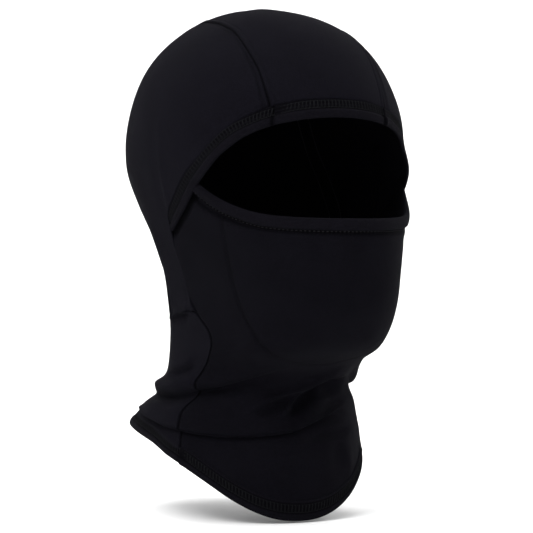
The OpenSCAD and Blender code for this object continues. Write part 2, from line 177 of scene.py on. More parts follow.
def onto(q):
    v = q - np.array([0, 4, Z0])
    b = np.where(v[..., 1] < 0, 109, 97)
    r = ((np.abs(v[..., 0]) / 81) ** ROUND + (np.abs(v[..., 1]) / b) ** ROUND
         + (np.maximum(v[..., 2], 0) / DOME) ** ROUND) ** (1 / ROUND)
    up = np.array([0, 4, Z0]) + v / np.maximum(r, 1e-6)[..., None]
    a, z = place(q)
    return np.where((q[..., 2] > Z0)[..., None], up, P(a, z))


# ---------------------------------------------------------------- folds and dips
def smooth(x, a, b):
    t = np.clip((x - a) / (b - a), 0, 1)
    return t * t * (3 - 2 * t)


def poly_dist(a, z, line, scale=1.06):
    """Signed distance in mm from places to an open line of places (positive above or left of its direction), and the share along it."""
    L = np.array(line, float)
    L[:, 0] *= scale
    x, y = np.asarray(a, float) * scale, np.asarray(z, float)
    best = np.full(x.shape, 1e9)
    sign = np.zeros(x.shape)
    along = np.zeros(x.shape)
    seg = np.diff(L, axis=0)
    ln = np.hypot(seg[:, 0], seg[:, 1])
    cum = np.concatenate([[0], np.cumsum(ln)])
    for k in range(len(seg)):
        dx, dy = x - L[k, 0], y - L[k, 1]
        t = np.clip((dx * seg[k, 0] + dy * seg[k, 1]) / ln[k] ** 2, 0, 1)
        ex, ey = dx - t * seg[k, 0], dy - t * seg[k, 1]
        d = np.hypot(ex, ey)
        m = d < best
        best = np.where(m, d, best)
        sign = np.where(m, np.sign(seg[k, 0] * ey - seg[k, 1] * ex), sign)
        along = np.where(m, (cum[k] + t * ln[k]) / cum[-1], along)
    return best * sign, along


def ends(u, a=0.12, b=0.12):
    return smooth(u, 0, a) * (1 - smooth(u, 1 - b, 1))


foldB = [[-178, -124], [-150, -125.5], [-128, -128.5], [-99, -133], [-79, -135], [-64, -137], [-48, -138],
         [-33, -138], [-17, -137], [-5.6, -135.5], [6.4, -132], [23, -127.5], [40, -124.5], [55, -122]]
foldB2 = [[178, -124], [150, -126], [126, -130], [104, -134], [84, -135.5], [68, -134]]
foldA = [[-150, -120], [-136, -119], [-110, -118], [-90, -117], [-71.5, -113.5], [-52.6, -111.5], [-38.6, -108.5],
         [-27, -105.5], [-15.7, -101.5], [-3, -101]]
foldA2 = [[150, -120], [118, -118], [92, -115], [70, -112], [54, -108], [40, -104]]
ridge1 = [[-14, -131], [-9, -126], [-4, -120], [2, -115.5], [8, -112], [14, -107.5], [20, -104.5], [32, -105], [46, -107]]
ridge2 = [[-38, -127], [-26, -121.5], [-17, -118], [0.5, -112], [12, -108]]
w1 = [[2, -144], [13.7, -141.7], [25.8, -140.6], [36, -139.5], [47, -138]]
w2 = [[-30, -153.4], [-14.3, -151.6], [3.8, -149.8], [12, -149]]
w3 = [[-20, -162], [-6, -162.2]]
w0 = [[11, -127], [20, -125], [28, -122.8], [40, -121], [52, -120]]
cres = [[-104, -104.5], [-96, -104.3], [-85.4, -103.4], [-73.7, -100.3], [-65, -95.5]]
napec = [[-100, -70], [-93, -68.5], [-87, -66.3], [-81, -64.6], [-75, -63.9], [-70, -64.4]]


def relief(a, z):
    """How far the filled-out cloth lies off the plain surface, in mm outward, and how far its lip hangs down."""
    a = (np.asarray(a, float) + 180) % 360 - 180
    z = np.asarray(z, float)
    o = np.zeros(np.broadcast(a, z).shape)
    dz = np.zeros(o.shape)
    # slow swells of stretched knit
    o += 0.55 * np.sin(a * 0.052 + z * 0.045 + 0.6) * np.sin(z * 0.071 - a * 0.021 + 2.1)
    o += 0.30 * np.sin(a * 0.115 - z * 0.083 + 4.0) * smooth(-z, 20, 90)
    # overlap fold low on the neck
    for line, k, e0, e1 in ((foldB, 1.0, 0.001, 0.22), (foldB2, 0.8, 0.001, 0.3)):
        s, u = poly_dist(a, z, line)
        if line is foldB2:
            s = -s
        w = k * (1 - smooth(u, 1 - e1, 1)) * (np.abs(s) < 40)
        o += w * np.where(s >= 0, 3.3 * np.exp(-s / 8.5), 3.3 * np.exp(-np.abs(s) / 0.7) - 3.0 * (np.exp(-np.abs(s) / 8.0) - np.exp(-np.abs(s) / 0.7)))
        dz -= w * 3.0 * np.exp(-((s - 0.6) / 2.6) ** 2)
    # crease across under the jaw
    for line, k in ((foldA, 1.0), (foldA2, 0.8)):
        s, u = poly_dist(a, z, line)
        if line is foldA2:
            s = -s
        w = k * (1 - smooth(u, 0.62, 1)) * (0.35 + 0.65 * smooth(u, 0.0, 0.25)) * (1 + 0.35 * (1 - smooth(u, 0.3, 0.6)))
        o += w * (-4.9 * np.exp(-(s / np.where(s > 0, 2.6, 5.0)) ** 2) + 3.4 * np.exp(-((s - 5.5) / 4.6) ** 2) + 1.1 * np.exp(-((s + 11) / 6.0) ** 2))
        dz -= w * (1.2 + 1.0 * smooth(u, 0.35, 0.6)) * np.exp(-((s - 2.4) / 2.1) ** 2)
    # sharp ridges running up to the chin
    s, u = poly_dist(a, z, ridge1)
    w = ends(u, 0.25, 0.3)
    o += w * (3.9 * np.exp(-(s / np.where(s > 0, 4.2, 1.4)) ** 2) - 5.2 * np.exp(-((s + 5.0) / 3.8) ** 2))
    s, u = poly_dist(a, z, ridge2)
    w = ends(u, 0.4, 0.3)
    o += w * (2.4 * np.exp(-(s / np.where(s > 0, 3.2, 1.6)) ** 2) - 2.6 * np.exp(-((s + 4.3) / 3.2) ** 2))
    # end of the side tail hanging over the nape
    for sg in (1, -1):
        s, u = poly_dist(a * sg, z, napec)
        w = ends(u, 0.25, 0.12) * (np.abs(s) < 30)
        o += w * np.where(s >= 0, 1.7 * np.exp(-s / 4.5), -2.3 * np.exp(s / 4.0) + 4.0 * np.exp(s / 0.6))
        dz -= w * 1.2 * np.exp(-((s - 0.6) / 1.6) ** 2)
    # small wrinkles below the fold
    for line, k, wd in ((w1, 1.5, 2.6), (w2, 0.9, 3.0), (w3, 0.5, 2.6), (w0, 1.5, 2.6), (cres, 2.1, 2.4)):
        s, u = poly_dist(a, z, line)
        w = ends(u, 0.45, 0.3)
        o += k * w * (-np.exp(-(s / wd) ** 2) + 0.7 * np.exp(-((s - 1.9 * wd) / (1.3 * wd)) ** 2) + 0.4 * np.exp(-((s + 2.2 * wd) / (1.5 * wd)) ** 2))
    fade = smooth(z - hem_s(a) - HEM, -3.2, 2.6)
    o, dz = o * fade - 0.8 * smooth(z, 35, 95), dz * fade
    # upright bulges beside the far edge of the neck front
    x = a - 38.5
    o += 1.3 * np.exp(-(x / 5.5) ** 2) * np.exp(-((z + 158) / 12) ** 2) - 1.2 * np.exp(-((a - 28) / 6.0) ** 2) * np.exp(-((z + 156) / 11) ** 2)
    o -= 3.4 * np.exp(-((a - 28) / 14.0) ** 2 - ((z + 115) / 4.6) ** 2)
    return o, dz


def seam_dip(a, z, off):
    """Gives no groove: returns 0 for every place and offset."""
    return 0.0


def lay(g, off):
    """Places and an offset above the surface to points in mm."""
    a, z = g[..., 0], g[..., 1]
    o, dz = relief(a, z)
    p = P(a, z) + (o + off)[..., None] * N(a, z)
    p[..., 2] += dz
    return p


# ---------------------------------------------------------------- mesh tools
def make(name, verts, faces, uv=None, mat=None, smooth_shade=True):
    me = bpy.data.meshes.new(name)
    me.from_pydata((np.asarray(verts, float) / 1000.0).tolist(), [], [tuple(int(i) for i in f) for f in faces])
    me.validate()
    if uv is not None:
        lay_uv = me.uv_layers.new(name="cloth")
        idx = np.empty(len(me.loops), dtype=np.int32)
        me.loops.foreach_get("vertex_index", idx)
        lay_uv.data.foreach_set("uv", np.asarray(uv, float)[idx].ravel())
    me.update()
    for p in me.polygons:
        p.use_smooth = smooth_shade
    ob = bpy.data.objects.new(name, me)
    bpy.context.scene.collection.objects.link(ob)
    if mat is not None:
        me.materials.append(mat)
    return ob


def grid_faces(n, m, k=0, rev=False, wrap=False):
    i, j = np.meshgrid(np.arange(n if wrap else n - 1), np.arange(m - 1), indexing="ij")
    i2 = (i + 1) % n
    q = np.stack([i * m + j, i2 * m + j, i2 * m + j + 1, i * m + j + 1], -1).reshape(-1, 4) + k
    return q[:, ::-1] if rev else q


def slab(outer, inner, wrap=False):
    """Closed skin between two grids of points."""
    n, m = outer.shape[:2]
    k = n * m
    v = np.concatenate([outer.reshape(-1, 3), inner.reshape(-1, 3)])
    f = [grid_faces(n, m, 0, False, wrap), grid_faces(n, m, k, True, wrap)]
    i = np.arange(n if wrap else n - 1)
    i2 = (i + 1) % n
    f.append(np.stack([i * m, k + i * m, k + i2 * m, i2 * m], -1))
    f.append(np.stack([i * m + m - 1, i2 * m + m - 1, k + i2 * m + m - 1, k + i * m + m - 1], -1))
    if not wrap:
        j = np.arange(m - 1)
        f.append(np.stack([j, j + 1, k + j + 1, k + j], -1))
        b = (n - 1) * m
        f.append(np.stack([b + j, k + b + j, k + b + j + 1, b + j + 1], -1))
    return v, np.concatenate(f)


def grid_uv(outer, twice=True):
    """Cloth coordinates in mm along rows and columns."""
    n, m = outer.shape[:2]
    v = np.concatenate([np.zeros((1, m)), np.cumsum(np.linalg.norm(np.diff(outer, axis=0), axis=2), axis=0)], 0)
    du = np.linalg.norm(np.diff(outer, axis=1), axis=2)
    u = np.concatenate([np.zeros((n, 1)), np.cumsum(du, axis=1)], 1)
    u -= u[:, m // 2][:, None]
    g = np.stack([u, v], -1).reshape(-1, 2)
    return np.concatenate([g, g]) if twice else g


def turned(v, f):
    """Faces wound so that the solid has outward normals."""
    a, b, c = v[f[:, 0]], v[f[:, 1]], v[f[:, 2]]
    vol = np.einsum("ij,ij->i", a, np.cross(b, c)).sum()
    if f.shape[1] == 4:
        d = v[f[:, 3]]
        vol += np.einsum("ij,ij->i", a, np.cross(c, d)).sum()
    return f if vol > 0 else f[:, ::-1]


def cloth(name, outer, inner, mat, wrap=False):
    v, f = slab(outer, inner, wrap)
    f = turned(v, f)
    return make(name, v, f, grid_uv(outer), mat)


def coons(c0, c1, d0, d1, u, v):
    u, v = np.asarray(u)[None, :, None], np.asarray(v)[:, None, None]
    return ((1 - v) * c0[None] + v * c1[None] + (1 - u) * d0[:, None] + u * d1[:, None]
            - ((1 - u) * (1 - v) * c0[0] + u * (1 - v) * c0[-1] + (1 - u) * v * c1[0] + u * v * c1[-1]))


def normals_of(p, wrap=False):
    if wrap:
        dv = np.roll(p, -1, 0) - np.roll(p, 1, 0)
    else:
        dv = np.gradient(p, axis=0)
    du = np.gradient(p, axis=1)
    return unit(np.cross(dv, du))


def tubes(name, lines, rad, mat, sides=5, flat=0.75):
    """Closed round threads along lists of points in mm, each with its outward directions."""
    V, F, k = [], [], 0
    ang = np.arange(sides) * 2 * math.pi / sides
    for pts, nrm in lines:
        n = len(pts)
        d = unit(np.gradient(pts, axis=0))
        s = unit(np.cross(nrm, d))
        w = unit(np.cross(d, s))
        r = np.full(n, rad)
        ring = (pts[:, None] + r[:, None, None] * (np.cos(ang)[None, :, None] * s[:, None] + flat * np.sin(ang)[None, :, None] * w[:, None]))
        V.append(ring.reshape(-1, 3))
        i, j = np.meshgrid(np.arange(n - 1), np.arange(sides), indexing="ij")
        j2 = (j + 1) % sides
        q = np.stack([i * sides + j, i * sides + j2, (i + 1) * sides + j2, (i + 1) * sides + j], -1).reshape(-1, 4) + k
        F += q.tolist()
        F.append([k + x for x in range(sides - 1, -1, -1)])
        F.append([k + (n - 1) * sides + x for x in range(sides)])
        k += n * sides
    return make(name, np.concatenate(V), F, None, mat)


def length_of(p):
    return np.concatenate([[0], np.cumsum(np.linalg.norm(np.diff(p, axis=0), axis=1))])


def even(fn, pitch, lo=0.0, hi=1.0, fine=1500):
    """Shares along a line of places, evenly spaced in mm."""
    t = np.linspace(lo, hi, fine)
    g = fn(t)
    L = length_of(P(g[:, 0], g[:, 1]))
    n = max(int(round(L[-1] / pitch)), 2)
    return np.interp(np.linspace(0, L[-1], n + 1), L, t), L[-1]


def dashes(fn, off, pitch=2.6, fill=0.72, sink=0.35, lo=0.0, hi=1.0, arch=0.25):
    """Row of stitches: each one rises from the cloth and dips back in."""
    t, _ = even(fn, pitch, lo, hi)
    out = []
    x = np.linspace(0, 1, 5)
    for a, b in zip(t[:-1], t[1:]):
        tt = a + (b - a) * ((1 - fill) / 2 + fill * x)
        g = fn(tt)
        h = off + arch * np.sin(math.pi * x) - sink * (1 - np.sin(math.pi * x))
        out.append((lay_at(g, h), N(g[:, 0], g[:, 1])))
    return out


def lay_at(g, h):
    a, z = g[..., 0], g[..., 1]
    o, dz = relief(a, z)
    p = P(a, z) + (o + h + IN)[..., None] * N(a, z)
    p[..., 2] += dz
    return p


# ---------------------------------------------------------------- materials
def knit(name, base, sheen, rough=0.92, spec=0.10, course=0.62, wale=0.52, depth=0.35, ribs=0.0, tint=(0.82, 0.84, 1.0), var=0.16, banded=False):
    m = bpy.data.materials.new(name)
    m.use_nodes = True
    nt = m.node_tree
    nt.nodes.clear()
    nd = lambda t, **k: _node(nt, t, **k)
    out = nd("ShaderNodeOutputMaterial")
    bs = nd("ShaderNodeBsdfPrincipled")
    bs.inputs["Roughness"].default_value = rough
    bs.inputs["Specular IOR Level"].default_value = spec
    bs.inputs["Sheen Weight"].default_value = sheen
    bs.inputs["Sheen Roughness"].default_value = 0.45
    bs.inputs["Sheen Tint"].default_value = (tint[0], tint[1], tint[2], 1)
    nt.links.new(bs.outputs[0], out.inputs[0])
    uv = nd("ShaderNodeUVMap")
    uv.uv_map = "cloth"
    sep = nd("ShaderNodeSeparateXYZ")
    nt.links.new(uv.outputs[0], sep.inputs[0])

    def math_(op, a, b=None, c=None):
        n = nd("ShaderNodeMath")
        n.operation = op
        for i, v in enumerate((a, b, c)):
            if v is None:
                continue
            if hasattr(v, "default_value") or hasattr(v, "is_linked"):
                nt.links.new(v, n.inputs[i])
            else:
                n.inputs[i].default_value = v
        return n.outputs[0]

    x, y = sep.outputs[0], sep.outputs[1]
    # V shaped loops in columns: the column's two legs lean opposite ways
    cx = math_("MULTIPLY", x, 2 * math.pi / wale)
    leg = math_("ABSOLUTE", math_("SINE", math_("MULTIPLY", cx, 0.5)))
    slant = math_("MULTIPLY", leg, 0.9)
    row = math_("SINE", math_("ADD", math_("MULTIPLY", y, 2 * math.pi / course), math_("MULTIPLY", slant, 2.2)))
    col = math_("POWER", leg, 0.6)
    h = math_("MULTIPLY", math_("ADD", math_("MULTIPLY", row, 0.5), 0.5), col)
    tex = nd("ShaderNodeTexCoord")
    fuzz = nd("ShaderNodeTexNoise")
    fuzz.inputs["Scale"].default_value = 1500
    fuzz.inputs["Detail"].default_value = 3
    nt.links.new(tex.outputs["Object"], fuzz.inputs["Vector"])
    slow = nd("ShaderNodeTexNoise")
    slow.inputs["Scale"].default_value = 55
    slow.inputs["Detail"].default_value = 4
    nt.links.new(tex.outputs["Object"], slow.inputs["Vector"])
    hh = math_("ADD", h, math_("MULTIPLY", fuzz.outputs[0], 0.7))
    if ribs:
        hh = math_("ADD", hh, math_("MULTIPLY", math_("SINE", math_("MULTIPLY", x, 2 * math.pi / ribs)), 0.5))
    bump = nd("ShaderNodeBump")
    bump.inputs["Strength"].default_value = 0.55
    bump.inputs["Distance"].default_value = depth / 1000.0
    nt.links.new(hh, bump.inputs["Height"])
    nt.links.new(bump.outputs[0], bs.inputs["Normal"])
    # colour: yarn tops lighter than the gaps, a painted shade between the loops, plus random grain and slow mottling
    mix = nd("ShaderNodeMix")
    mix.data_type = "RGBA"
    mix.inputs[6].default_value = (base[0] * 0.35, base[1] * 0.35, base[2] * 0.35, 1)
    mix.inputs[7].default_value = (base[0] * 1.6, base[1] * 1.6, base[2] * 1.6, 1)
    f = math_("ADD", math_("MULTIPLY", h, 0.55), math_("SUBTRACT", math_("MULTIPLY", fuzz.outputs[0], 1.35), 0.45))
    f = math_("ADD", f, math_("MULTIPLY", math_("SUBTRACT", slow.outputs[0], 0.5), var * 2))
    # painted shade: the colour is darkened by a per-point weight in seams, under hem edges, at hem steps and between
    # cover threads
    if banded:
        at = nd("ShaderNodeAttribute")
        at.attribute_name = "band"
        f = math_("SUBTRACT", f, math_("MULTIPLY", at.outputs[2], 0.55))
    cl = nd("ShaderNodeClamp")
    nt.links.new(f, cl.inputs[0])
    nt.links.new(cl.outputs[0], mix.inputs[0])
    nt.links.new(mix.outputs[2], bs.inputs["Base Color"])
    return m


def _node(nt, t, **k):
    n = nt.nodes.new(t)
    for a, b in k.items():
        setattr(n, a, b)
    return n


def thread_mat(name, base, sheen=0.06):
    m = bpy.data.materials.new(name)
    m.use_nodes = True
    nt = m.node_tree
    bs = nt.nodes["Principled BSDF"]
    bs.inputs["Roughness"].default_value = 0.8
    bs.inputs["Specular IOR Level"].default_value = 0.02
    bs.inputs["Sheen Weight"].default_value = sheen
    tex = nt.nodes.new("ShaderNodeTexCoord")
    noi = nt.nodes.new("ShaderNodeTexNoise")
    noi.inputs["Scale"].default_value = 1800
    nt.links.new(tex.outputs["Object"], noi.inputs["Vector"])
    mix = nt.nodes.new("ShaderNodeMix")
    mix.data_type = "RGBA"
    mix.inputs[6].default_value = (base[0] * 0.6, base[1] * 0.6, base[2] * 0.6, 1)
    mix.inputs[7].default_value = (base[0] * 1.4, base[1] * 1.4, base[2] * 1.4, 1)
    nt.links.new(noi.outputs[0], mix.inputs[0])
    nt.links.new(mix.outputs[2], bs.inputs["Base Color"])
    bump = nt.nodes.new("ShaderNodeBump")
    bump.inputs["Strength"].default_value = 0.4
    bump.inputs["Distance"].default_value = 0.00008
    nt.links.new(noi.outputs[0], bump.inputs["Height"])
    nt.links.new(bump.outputs[0], bs.inputs["Normal"])
    return m


# the front copy is darker and has less sheen than the hood copy, as painted shade over the front panel; the hem copy is
# lighter than the front copy, as painted light on the hems
M_HOOD = knit("hood_knit_black", (0.0043, 0.0040, 0.0062), 0.0050, spec=0.015, banded=True)
M_FRONT = knit("front_knit_black", (0.0034, 0.0032, 0.0048), 0.0034, spec=0.015, banded=True)
M_HEM = knit("folded_knit_black", (0.0040, 0.0037, 0.0054), 0.0045, spec=0.015, banded=True)
M_LINE = knit("lining_knit_black", (0.0032, 0.0028, 0.0040), 0.004, spec=0.02)
M_THREAD = thread_mat("thread_black", (0.0080, 0.0083, 0.0094), 0.003)
M_DOT = thread_mat("thread_mask_hem", (0.0150, 0.0146, 0.0165), 0.012)

M_IN = thread_mat("thread_inside", (0.0300, 0.0290, 0.0340), 0.01)
M_SEW = thread_mat("thread_seams", (0.0034, 0.0033, 0.0042), 0.002)
CL, GAP, IN = 1.2, 0.1, -1.1
HI = CL + GAP

# ---------------------------------------------------------------- hood panels
K = 150
NB = 210
t = np.linspace(0, 1, K + 1)
lt = crown_g(1, t, np.full(t.shape, -0.25))
rt = crown_g(-1, t, np.full(t.shape, -0.25))


def back_line(tt):
    q = cr(side_s[7:17], np.clip((tt - 0.05) / 0.95, 0, 1))
    s = crown_g(1, np.array(1.0), np.array(-0.25))
    w = 1 - np.clip(tt / 0.05, 0, 1)
    zz = q[:, 1] * (1 - w) + s[1] * w
    aa = (q[:, 0] + 0.06) * (1 - w) + s[0] * w
    top = hem_s(aa) + HEM - 3.0
    zz = np.where(tt > 0.93, zz + (top - zz) * smooth(tt, 0.93, 1.0), zz)
    return np.stack([aa, zz], -1)


t2 = np.linspace(0, 1, NB - K + 1)[1:]
lb = back_line(t2)
L = np.concatenate([lt, lb])
R = np.concatenate([rt, flip(lb)])
mid = np.concatenate([spine(cr(spine_s[:, None], t)[:, 0]), spine(cr(back_s[:, None], t2)[:, 0])])
h = 70
pl, pr = P(L[:, 0], L[:, 1]), P(R[:, 0], R[:, 1])
j = np.linspace(0, 1, h + 1) ** 1.4
jr = (1 - j)[::-1]
left = pl[:, None] + (mid - pl)[:, None] * j[None, :, None]
right = mid[:, None] + (pr - mid)[:, None] * jr[None, 1:, None]
pts = onto(np.concatenate([left, right], 1))
wlow = np.concatenate([np.zeros(K + 1), t2**4])[:, None] * np.concatenate([smooth(j, 0, 0.12), smooth(1 - jr[1:], 0, 0.12)])[None, :]
a, z = place(pts)
zt = z * (1 - wlow) + (hem_s(a) + HEM - 3.0) * wlow
pts = np.where((wlow > 0)[..., None], P(a, zt), pts)


def shade(ob, sh):
    """Stores a painted shade weight per outer point, highest deep in a seam; the knit material paints the cloth darker
    there.
    """
    v = np.zeros(len(ob.data.vertices), np.float32)
    v[: sh.size] = np.clip(sh, 0, 1).ravel()
    at = ob.data.attributes.new("band", "FLOAT", "POINT")
    at.data.foreach_set("value", v)


def seam_high(d):
    """Crown side of the crown seam: a narrow lit roll, then a needle row."""
    return -1.0 * np.exp(-(d / 0.65) ** 2) + 0.45 * np.exp(-((d - 1.9) / 1.15) ** 2) - 0.25 * np.exp(-((d - 3.9) / 0.45) ** 2)


def seam_low(d):
    """Side of the crown seam that slopes down into it, with its needle row."""
    return -0.9 * np.exp(-(d / 0.7) ** 2) - 0.42 * (1 - smooth(d, 1.4, 5.2)) - 0.30 * np.exp(-((d - 4.0) / 0.5) ** 2) + 0.2 * np.exp(-((d - 5.8) / 1.3) ** 2)


def seam_plain(d):
    """Edge of a panel at a plain seam."""
    return -0.75 * np.exp(-(d / 0.75) ** 2) + 0.10 * np.exp(-((d - 2.2) / 1.3) ** 2)


def crowd(x, k=1.35):
    """Shares from -1 to 1, drawn toward both ends."""
    return np.sign(x) * (1 - (1 - np.abs(x)) ** k)


def edge_dist(p, axis, first=True):
    q = p if axis == 1 else p.swapaxes(0, 1)
    st = np.linalg.norm(np.diff(q, axis=1), axis=2)
    c = np.concatenate([np.zeros((q.shape[0], 1)), np.cumsum(st, 1)], 1)
    if not first:
        c = c[:, -1:] - c
    return c if axis == 1 else c.swapaxes(0, 1)


def with_relief(pts, off, extra=0.0, nr=None):
    a, z = place(pts)
    o, dz = relief(a, z)
    nn = normals_of(pts) if nr is None else nr
    if np.einsum("ijk,ijk->ij", nn, pts - np.array([0, 4, 0])).mean() < 0:
        nn = -nn
    p = pts + (o + off + extra + IN)[..., None] * nn
    p[..., 2] += dz
    return p


a0, z0_ = place(pts[:1])
zt0 = np.interp(np.abs(a0 + 1.6), brow_u[:, 0], brow_u[:, 1]) - 1.2
kk = np.array([0.0, 0.25, 0.5, 0.75])[:, None]
pts = np.concatenate([P(np.repeat(a0, 4, 0), zt0 + (z0_ - zt0) * kk), pts], 0)
dl, dr_ = edge_dist(pts, 1, True), edge_dist(pts, 1, False)
dt0 = edge_dist(pts, 0, True)
seam_t = np.concatenate([np.ones(K + 1), 1 - smooth(t2, 0, 0.03)])[:, None]
seam_t = seam_t * np.concatenate([1 - smooth(t, 0.84, 0.9), np.zeros(len(t2))])[:, None]
seam_t = np.concatenate([np.ones((4, 1)), seam_t], 0)
ext = (seam_high(dl) + seam_high(dr_)) * seam_t + (seam_plain(dl) + seam_plain(dr_)) * (1 - seam_t) - 1.0 * np.exp(-(dt0 / 0.9) ** 2)
# crown seam allowance runs on down through the brow band
ac, zc = place(pts)
nc = normals_of(pts)
if np.einsum("ijk,ijk->ij", nc, pts - np.array([0, 4, 0])).mean() < 0:
    nc = -nc
wn = smooth(zc, 10, 40)[..., None]
nc = unit(nc * wn + N(ac, zc) * (1 - wn))
crown = cloth("crown_back_cloth", with_relief(pts, HI, ext, nc), with_relief(pts, GAP, np.minimum(ext, 0) * 0.6, nc), M_HOOD)
# painted shade: darker cloth along both crown seams and along the top edge tucked under the brow hem
shade(crown, 1.5 * np.exp(-(dl / 0.85) ** 2) + 1.5 * np.exp(-(dr_ / 0.85) ** 2) + np.exp(-(dt0 / 1.0) ** 2))


def side_grid(side, n=150, m=60):
    e = 0.25
    hb = brow_u + np.array([0.0, -1.2])
    j0 = crown_g(side, np.array(0.0), np.array(e))
    j0 = np.array([side * j0[0], np.interp(side * j0[0] + side * 1.6, brow_u[:, 0], brow_u[:, 1]) - 1.2])
    s100 = cr(hb, np.linspace(0, 1, 400))
    u0 = np.searchsorted(s100[:, 0], j0[0]) / 400
    jj = crowd(np.linspace(-1, 1, m + 1)) / 2 + 0.5
    w = (1 - jj) ** 4
    c0 = cr(hb, u0 + (1 - u0) * jj) * (1 - w)[:, None] + j0 * w[:, None]
    ii = np.linspace(0, 1, n + 1)
    d0 = crown_g(side, 0.992 * ii, np.full(n + 1, e))
    d0[:, 0] *= side
    d0[:, 1] += (j0[1] - d0[0, 1]) * np.maximum(0, 1 - ii / 0.04)
    sl = side_s[3:8]
    q = cr(sl, 0.02 + 0.96 * ii)
    w = (1 - ii) ** 3
    d1 = (q + np.array([0.06, 0])) * (1 - w)[:, None] + c0[-1] * w[:, None]
    c1 = d0[-1] + (d1[-1] - d0[-1]) * jj[:, None]
    g = coons(c0, c1, d0, d1, jj, ii)
    if side < 0:
        g = flip(g)[:, ::-1]
    return g


dart = [[81, 58], [80, 53.4], [78, 41.6], [76.4, 26], [74.2, 10], [73.2, -4], [72, -15.5]]
sides = []
for side, nm in ((1, "left"), (-1, "right")):
    g = side_grid(side)
    p = P(g[..., 0], g[..., 1])
    dc = edge_dist(p, 1, side > 0)       # distance from the crown seam
    ds = edge_dist(p, 1, side < 0)       # distance from the side seam
    n = g.shape[0]
    f = smooth(np.linspace(0, 1, n), 0.0, 0.12)[:, None]
    sd, su = poly_dist(np.abs(g[..., 0]), g[..., 1], dart)
    w_d = smooth(su, 0, 0.2)
    tail = smooth(-g[..., 1], -6, 20)
    ext = seam_low(dc) * (1 - 0.5 * smooth(-g[..., 1], 40, 60)) - 0.05 * np.exp(-(ds / 0.5) ** 2) * f
    dtop = edge_dist(p, 0, True)
    ext = ext - 1.0 * np.exp(-(dtop / 0.9) ** 2)
    endroll = edge_dist(p, 0, False)
    ext = ext + 1.6 * np.exp(-((endroll - 5.0) / 4.5) ** 2) - 0.8 * np.exp(-(endroll / 1.2) ** 2)
    ext = ext + w_d * (1 - tail) * (0.40 * np.exp(-((sd + 2.6) / 2.4) ** 2) - 0.16 * np.exp(-(sd / 0.9) ** 2) - 0.35 * np.exp(-((sd - 2.8) / 3.0) ** 2))
    nn = N(g[..., 0], g[..., 1])
    po = with_relief(p, HI, ext, nn)
    pi = with_relief(p, GAP, np.minimum(ext, 0) * 0.6, nn)
    ob = cloth("side_cloth_" + nm, po, pi, M_HOOD)
    # painted shade: darker cloth along the crown seam and its needle row, at the top edge under the brow hem and at the
    # tail's end over the nape
    shade(ob, np.exp(-(dc / 0.9) ** 2) + 0.6 * np.exp(-((dc - 4.0) / 0.6) ** 2) + np.exp(-(dtop / 1.0) ** 2) + 0.8 * np.exp(-(endroll / 1.0) ** 2))
    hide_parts("side_panel_" + nm)
    sides.append(ob)
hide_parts("crown_back_panel")

# ---------------------------------------------------------------- front panel
n_f, m_f = 190, 200
u = crowd(np.linspace(-1, 1, m_f + 1))
top_half = np.array([[0, -8.6], [10, -8.4], [20, -7.5], [28, -5.5], [35, -1.7], [41, 2.6], [46, 7.1],
                     [51, 11.5], [55, 12], [60, 8], [65, 1], [69.5, -5], [73, -8]], float)
side_f = np.concatenate([[[73, -8]], side_s[4:] + np.array([-0.06, 0])])
tt = np.linspace(0, 1, n_f + 1)
# rows evenly spaced along the side line
sf = cr(side_f, np.linspace(0, 1, 2000))
Ls = length_of(P(sf[:, 0], sf[:, 1]))
us = np.interp(np.linspace(0, Ls[-1], n_f + 1), Ls, np.linspace(0, 1, 2000))
sr = cr(side_f, us)
sr[:, 1] += (hem_s(sr[-1, 0]) + HEM - 3.0 - sr[-1, 1]) * smooth(tt, 0.93, 1.0)
th = cr(both(top_half), np.linspace(0, 1, 2000))
Lt = length_of(P(th[:, 0], th[:, 1]))
ut = np.interp((u / 2 + 0.5) * Lt[-1], Lt, np.linspace(0, 1, 2000))
topc = cr(both(top_half), ut)
bot_a = u * sr[-1, 0]
botc = np.stack([bot_a, hem_s(bot_a) + HEM - 3.0], -1)
G = coons(topc, botc, flip(sr), sr, u / 2 + 0.5, tt)
pf = P(G[..., 0], G[..., 1])
nf = N(G[..., 0], G[..., 1])
d1, d2 = edge_dist(pf, 1, True), edge_dist(pf, 1, False)
lining_line = both([[0, -97.5], [8, -96.5], [15, -94], [22, -90], [28.5, -82.5], [31.5, -75], [34.3, -68], [36.7, -59],
                    [38.4, -46], [39.4, -35.5], [40, -25], [40.7, -14], [41, -6]])


def front_extra(g):
    ext = 0
    s, u_ = poly_dist(g[..., 0], g[..., 1], lining_line)
    ext = ext - 0.45 * np.exp(-(s / 0.75) ** 2)
    # pinched flat under the turned hem
    s, u_ = poly_dist(g[..., 0], g[..., 1], both(mask_e))
    ext = ext - 1.25 * (1 - smooth(np.abs(s), 7.9, 9.4)) - 0.5 * np.exp(-((np.abs(s) - 9.3) / 1.2) ** 2)
    ext = ext - 0.45 * np.exp(-((np.abs(s) - 15.5) / 2.6) ** 2) * smooth(-np.abs(g[..., 0]), -38, -26)
    return ext


low_g = smooth(-G[..., 1], 58, 68)
under = poly_dist(G[..., 0], G[..., 1], both(brow_e))[0]
ext = (seam_plain(d1) + seam_plain(d2)) * low_g + front_extra(G) - 1.7 * np.exp(-(under / 3.2) ** 2)
